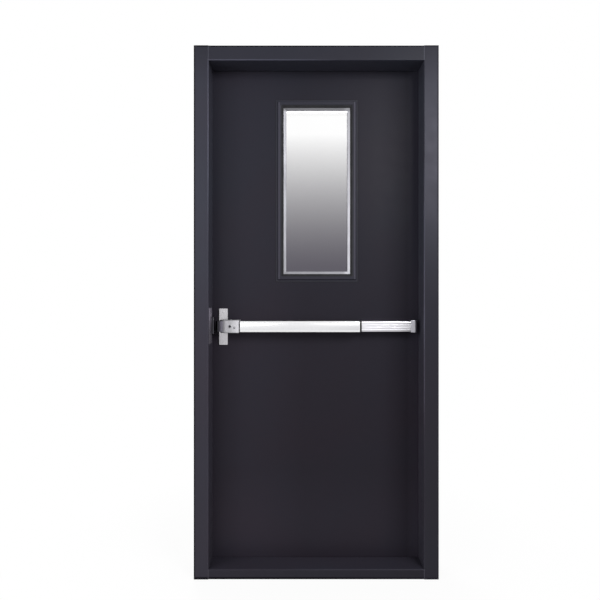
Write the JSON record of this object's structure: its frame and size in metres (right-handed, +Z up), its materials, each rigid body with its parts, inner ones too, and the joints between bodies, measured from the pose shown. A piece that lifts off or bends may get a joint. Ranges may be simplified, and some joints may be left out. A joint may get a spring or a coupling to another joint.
{
  "type": "fire rated door",
  "caption": "Single-leaf steel fire door in a pressed steel frame with sill, butt hinges, glazed vision panel and a push-bar exit device with latch bolt.",
  "frame": {"origin": "on the floor, in the middle of the frame's width and depth, on the sill's underside", "axes": "+X along the wall towards the hinges, +Y from the push side to the pull side, +Z up"},
  "size_m": [1.01, 0.16, 2.2],
  "materials": {
    "frame_paint": "satin charcoal powder coat",
    "leaf_paint": "satin charcoal powder coat",
    "hidden_steel": "primed sheet steel",
    "core_board": "mineral fibre board",
    "seal_rubber": "matt black",
    "glass": "smooth",
    "bead_metal": "bright anodised",
    "hinge_steel": "satin stainless",
    "pin_steel": "satin stainless",
    "bar_metal": "brushed stainless",
    "rail_metal": "fluted satin anodised",
    "case_metal": "brushed stainless",
    "cap_metal": "satin grey",
    "plate_metal": "brushed stainless",
    "bolt_metal": "dark plated",
    "keeper_metal": "dark plated"
  },
  "bodies": {
    "frame": {"left_jamb": "frame_paint", "right_jamb": "frame_paint", "head": "frame_paint", "sill": "frame_paint", "hinge_reinforcements": "hidden_steel", "left_seal": "seal_rubber", "right_seal": "seal_rubber", "head_seal": "seal_rubber", "sill_seal": "seal_rubber", "strike_plate": "keeper_metal", "strike_keeper": "keeper_metal", "bottom_hinge_frame_plate": "hinge_steel", "bottom_hinge_pin": "pin_steel", "middle_hinge_frame_plate": "hinge_steel", "middle_hinge_pin": "pin_steel", "top_hinge_frame_plate": "hinge_steel", "top_hinge_pin": "pin_steel"},
    "leaf": {"push_skin": "leaf_paint", "pull_skin": "leaf_paint", "leaf_core": "core_board", "top_channel": "hidden_steel", "bottom_channel": "hidden_steel", "glass_pane": "glass", "push_glazing_trim": "leaf_paint", "pull_glazing_trim": "leaf_paint", "push_glazing_bead": "bead_metal", "pull_glazing_bead": "bead_metal", "push_glass_seal": "seal_rubber", "pull_glass_seal": "seal_rubber", "lock_plate": "plate_metal", "head_case": "case_metal", "rail_channel": "rail_metal", "rail_cover": "rail_metal", "end_cap": "cap_metal", "bottom_hinge_leaf_plate": "hinge_steel", "middle_hinge_leaf_plate": "hinge_steel", "top_hinge_leaf_plate": "hinge_steel"},
    "push_bar": {"push_bar": "bar_metal", "bar_guides": "hidden_steel"},
    "latch_bolt": {"latch_bolt": "bolt_metal"}
  },
  "joints": [
    {"name": "leaf_swing", "type": "hinge", "parent": "frame", "child": "leaf", "pos_m": [0.4595, 0.08, 1.09], "axis": [0, 0, -1], "range_deg": [0, 180]},
    {"name": "bar_press", "type": "slide", "parent": "leaf", "child": "push_bar", "axis": [0, 1, 0], "range_m": [0, 0.018], "stiffness_N_per_m": 1500, "springref_m": -0.01},
    {"name": "bolt_draw", "type": "slide", "parent": "leaf", "child": "latch_bolt", "axis": [1, 0, 0], "range_m": [0, 0.014]}
  ],
  "couplings": [
    {"joint": "bolt_draw", "follows": "bar_press", "ratio": 0.77778}
  ]
}
